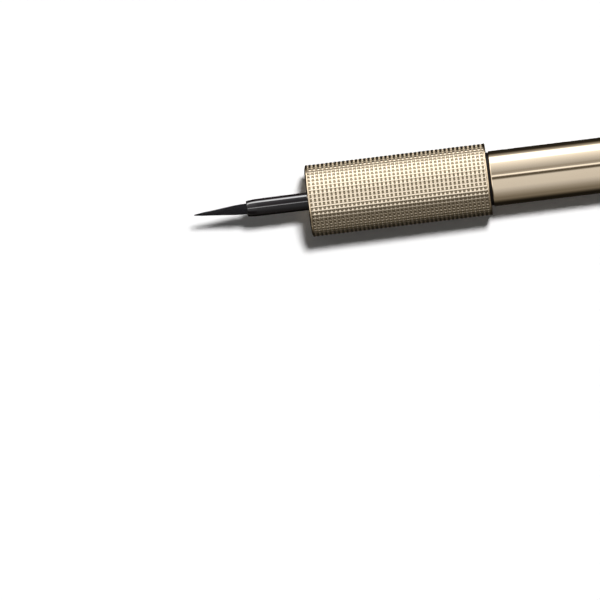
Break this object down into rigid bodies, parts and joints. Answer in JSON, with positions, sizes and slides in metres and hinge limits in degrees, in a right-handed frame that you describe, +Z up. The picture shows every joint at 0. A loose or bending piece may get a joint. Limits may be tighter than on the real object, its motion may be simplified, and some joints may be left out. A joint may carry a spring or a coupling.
{
  "type": "liquid eyeliner pen",
  "caption": "Round liquid eyeliner pen with fine brush tip, slender stem, knurled grip, smooth metal barrel and a pull-off cap posted on its tail.",
  "frame": {"origin": "point on the pen's axis at the barrel's front end, where the smooth barrel meets the grip's spacer ring", "axes": "+X along the pen's axis from the brush towards the posted cap, +Z up with the pen lying on its side"},
  "size_m": [0.1584, 0.012, 0.012],
  "materials": {
    "gold_mirror": "mirror-polished champagne gold anodised",
    "gold_knurl": "fine square knurl, champagne gold",
    "gold_rim": "polished, plated champagne gold",
    "black_gloss": "glossy black moulding",
    "black_moulding": "satin black moulding",
    "milky_moulding": "natural milky moulding",
    "clear_moulding": "clear moulded plastic",
    "fibre": "bonded fibre, soaked with black ink",
    "bristle": "fine tapered black filaments",
    "ball_steel": "ground steel",
    "seal_rubber": "matt elastomer"
  },
  "bodies": {
    "pen": {"brush_tip": "bristle", "stem": "black_gloss", "front_housing": "black_moulding", "brush_retainer": "milky_moulding", "feed_rod": "fibre", "collector": "milky_moulding", "tank_seal_ring": "seal_rubber", "ink_tank": "clear_moulding", "tank_plug": "seal_rubber", "grip_core": "gold_rim", "grip_sleeve": "gold_knurl", "grip_bezel": "gold_rim", "spacer_ring": "black_moulding", "barrel_shell": "gold_mirror", "tail_spigot": "black_moulding", "post_ring": "seal_rubber"},
    "cap": {"cap_shell": "gold_mirror", "cap_liner": "milky_moulding", "inner_cap": "milky_moulding", "inner_cap_seal": "seal_rubber", "cap_end_plug": "gold_mirror"},
    "ball": {"mixing_ball": "ball_steel"}
  },
  "joints": [
    {"name": "cap_pull", "type": "slide", "parent": "pen", "child": "cap", "axis": [1, 0, 0], "range_m": [0, 0.05]},
    {"name": "ball_roll", "type": "slide", "parent": "pen", "child": "ball", "axis": [1, 0, 0], "range_m": [-0.0101, 0.0305]}
  ]
}
